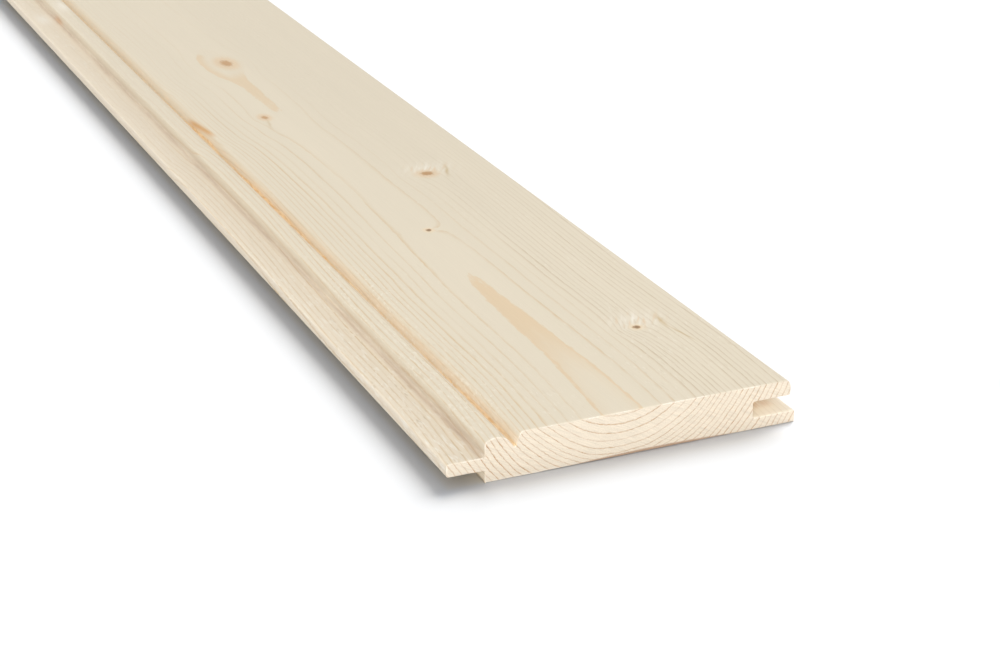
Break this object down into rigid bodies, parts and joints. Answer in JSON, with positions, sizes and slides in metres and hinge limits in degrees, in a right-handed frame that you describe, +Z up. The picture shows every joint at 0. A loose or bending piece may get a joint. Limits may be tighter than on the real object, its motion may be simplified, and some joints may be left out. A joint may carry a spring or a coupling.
{
  "type": "beaded tongue and groove board",
  "caption": "Flat softwood lining board with a tongue and rounded bead along one edge and a groove along the other, laid edge to edge on walls or ceilings.",
  "frame": {"origin": "middle of the underside of the bounding box, on the surface the board lies on", "axes": "+X along the board, towards the end shown near in the picture; +Y across it, from the tongue to the groove; +Z up, out of the face"},
  "size_m": [2.1, 0.096, 0.012],
  "materials": {
    "planed_softwood": "planed, bare, satin"
  },
  "bodies": {
    "root": {"board": "planed_softwood"}
  },
  "joints": []
}
